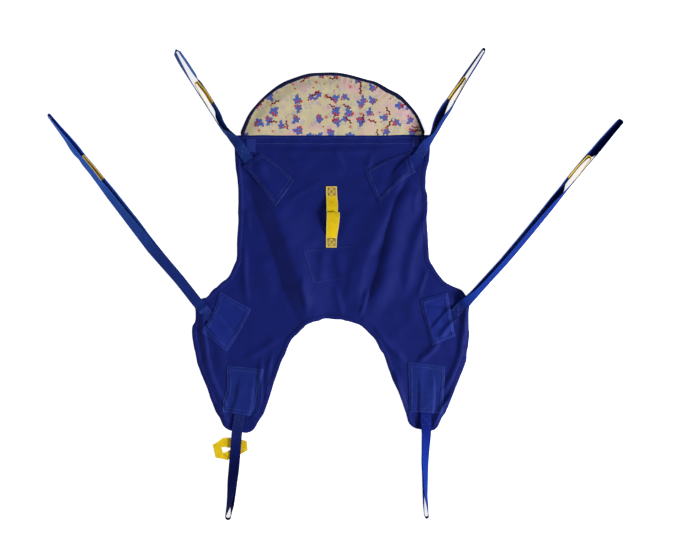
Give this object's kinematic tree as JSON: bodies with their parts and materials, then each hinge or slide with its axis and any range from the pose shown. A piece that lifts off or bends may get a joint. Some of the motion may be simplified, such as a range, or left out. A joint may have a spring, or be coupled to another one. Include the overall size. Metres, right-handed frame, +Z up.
{
  "type": "gait belt",
  "caption": "Full-body patient lifting sling with divided legs, padded head support, webbing strap loops and a handle, laid flat.",
  "frame": {"origin": "on the centreline, on the underside of the back panel below the middle of the handle", "axes": "+X across the sling towards the right leg as seen from above, +Y towards the head, +Z up from the surface it lies on"},
  "size_m": [2.0719, 1.6963, 0.041],
  "materials": {
    "navy_cloth": "plain woven polyester, soft sheen",
    "patch_cloth": "woven polyester mesh, stitched",
    "blue_webbing": "woven webbing",
    "yellow_webbing": "woven webbing",
    "printed_cloth": "printed cotton, matte",
    "foam": "foam sheet, matte"
  },
  "bodies": {
    "back": {"back_panel": "navy_cloth", "top_hem": "navy_cloth", "crotch_binding": "navy_cloth", "left_side_binding": "navy_cloth", "right_side_binding": "navy_cloth", "lumbar_patch": "patch_cloth", "left_corner_tab": "blue_webbing", "right_corner_tab": "blue_webbing", "handle_upper_end": "yellow_webbing", "handle_lower_end": "yellow_webbing", "left_shoulder_patch": "patch_cloth", "left_shoulder_anchor": "blue_webbing", "left_hip_patch": "patch_cloth", "left_hip_anchor": "blue_webbing", "right_shoulder_patch": "patch_cloth", "right_shoulder_anchor": "blue_webbing", "right_hip_patch": "patch_cloth", "right_hip_anchor": "blue_webbing"},
    "head_section": {"head_backing": "navy_cloth", "head_padding": "foam", "head_lining": "printed_cloth", "head_binding": "navy_cloth"},
    "handle": {"handle_grip": "yellow_webbing"},
    "left_leg": {"left_leg_flap": "navy_cloth", "left_leg_binding": "navy_cloth", "left_leg_patch": "patch_cloth", "left_leg_anchor": "blue_webbing"},
    "left_shoulder_loop": {"left_shoulder_strap": "blue_webbing", "left_shoulder_inner_loop": "yellow_webbing"},
    "left_hip_loop": {"left_hip_strap": "blue_webbing", "left_hip_inner_loop": "yellow_webbing"},
    "left_leg_loop": {"left_leg_strap": "blue_webbing", "crossing_loop": "yellow_webbing"},
    "right_leg": {"right_leg_flap": "navy_cloth", "right_leg_binding": "navy_cloth", "right_leg_patch": "patch_cloth", "right_leg_anchor": "blue_webbing"},
    "right_shoulder_loop": {"right_shoulder_strap": "blue_webbing", "right_shoulder_inner_loop": "yellow_webbing"},
    "right_hip_loop": {"right_hip_strap": "blue_webbing", "right_hip_inner_loop": "yellow_webbing"},
    "right_leg_loop": {"right_leg_strap": "blue_webbing"}
  },
  "joints": [
    {"name": "head_fold", "type": "hinge", "parent": "back", "child": "head_section", "pos_m": [0, 0.292, 0.006], "axis": [1, 0, 0], "range_deg": [0, 90]},
    {"name": "left_leg_fold", "type": "hinge", "parent": "back", "child": "left_leg", "pos_m": [-0.336, -0.505, 0.0025], "axis": [-1, 0, 0], "range_deg": [0, 90]},
    {"name": "left_shoulder_strap_lift", "type": "hinge", "parent": "back", "child": "left_shoulder_loop", "pos_m": [-0.336, 0.266, 0.0068], "axis": [0.8387, 0.5446, 0], "range_deg": [0, 90]},
    {"name": "left_hip_strap_lift", "type": "hinge", "parent": "back", "child": "left_hip_loop", "pos_m": [-0.482, -0.306, 0.0068], "axis": [0.7804, 0.6252, 0], "range_deg": [0, 90]},
    {"name": "left_leg_strap_lift", "type": "hinge", "parent": "left_leg", "child": "left_leg_loop", "pos_m": [-0.336, -0.77, 0.0068], "axis": [-0.9932, 0.1167, 0], "range_deg": [0, 90]},
    {"name": "right_leg_fold", "type": "hinge", "parent": "back", "child": "right_leg", "pos_m": [0.336, -0.505, 0.0025], "axis": [-1, 0, 0], "range_deg": [0, 90]},
    {"name": "right_shoulder_strap_lift", "type": "hinge", "parent": "back", "child": "right_shoulder_loop", "pos_m": [0.336, 0.266, 0.0068], "axis": [0.8471, -0.5314, 0], "range_deg": [0, 90]},
    {"name": "right_hip_strap_lift", "type": "hinge", "parent": "back", "child": "right_hip_loop", "pos_m": [0.482, -0.306, 0.0068], "axis": [0.7627, -0.6468, 0], "range_deg": [0, 90]},
    {"name": "right_leg_strap_lift", "type": "hinge", "parent": "right_leg", "child": "right_leg_loop", "pos_m": [0.336, -0.77, 0.0068], "axis": [-1, 0, 0], "range_deg": [0, 90]},
    {"name": "handle_tilt", "type": "hinge", "parent": "back", "child": "handle", "pos_m": [0.002, 0, 0.0025], "axis": [0, -1, 0], "range_deg": [0, 24]}
  ]
}
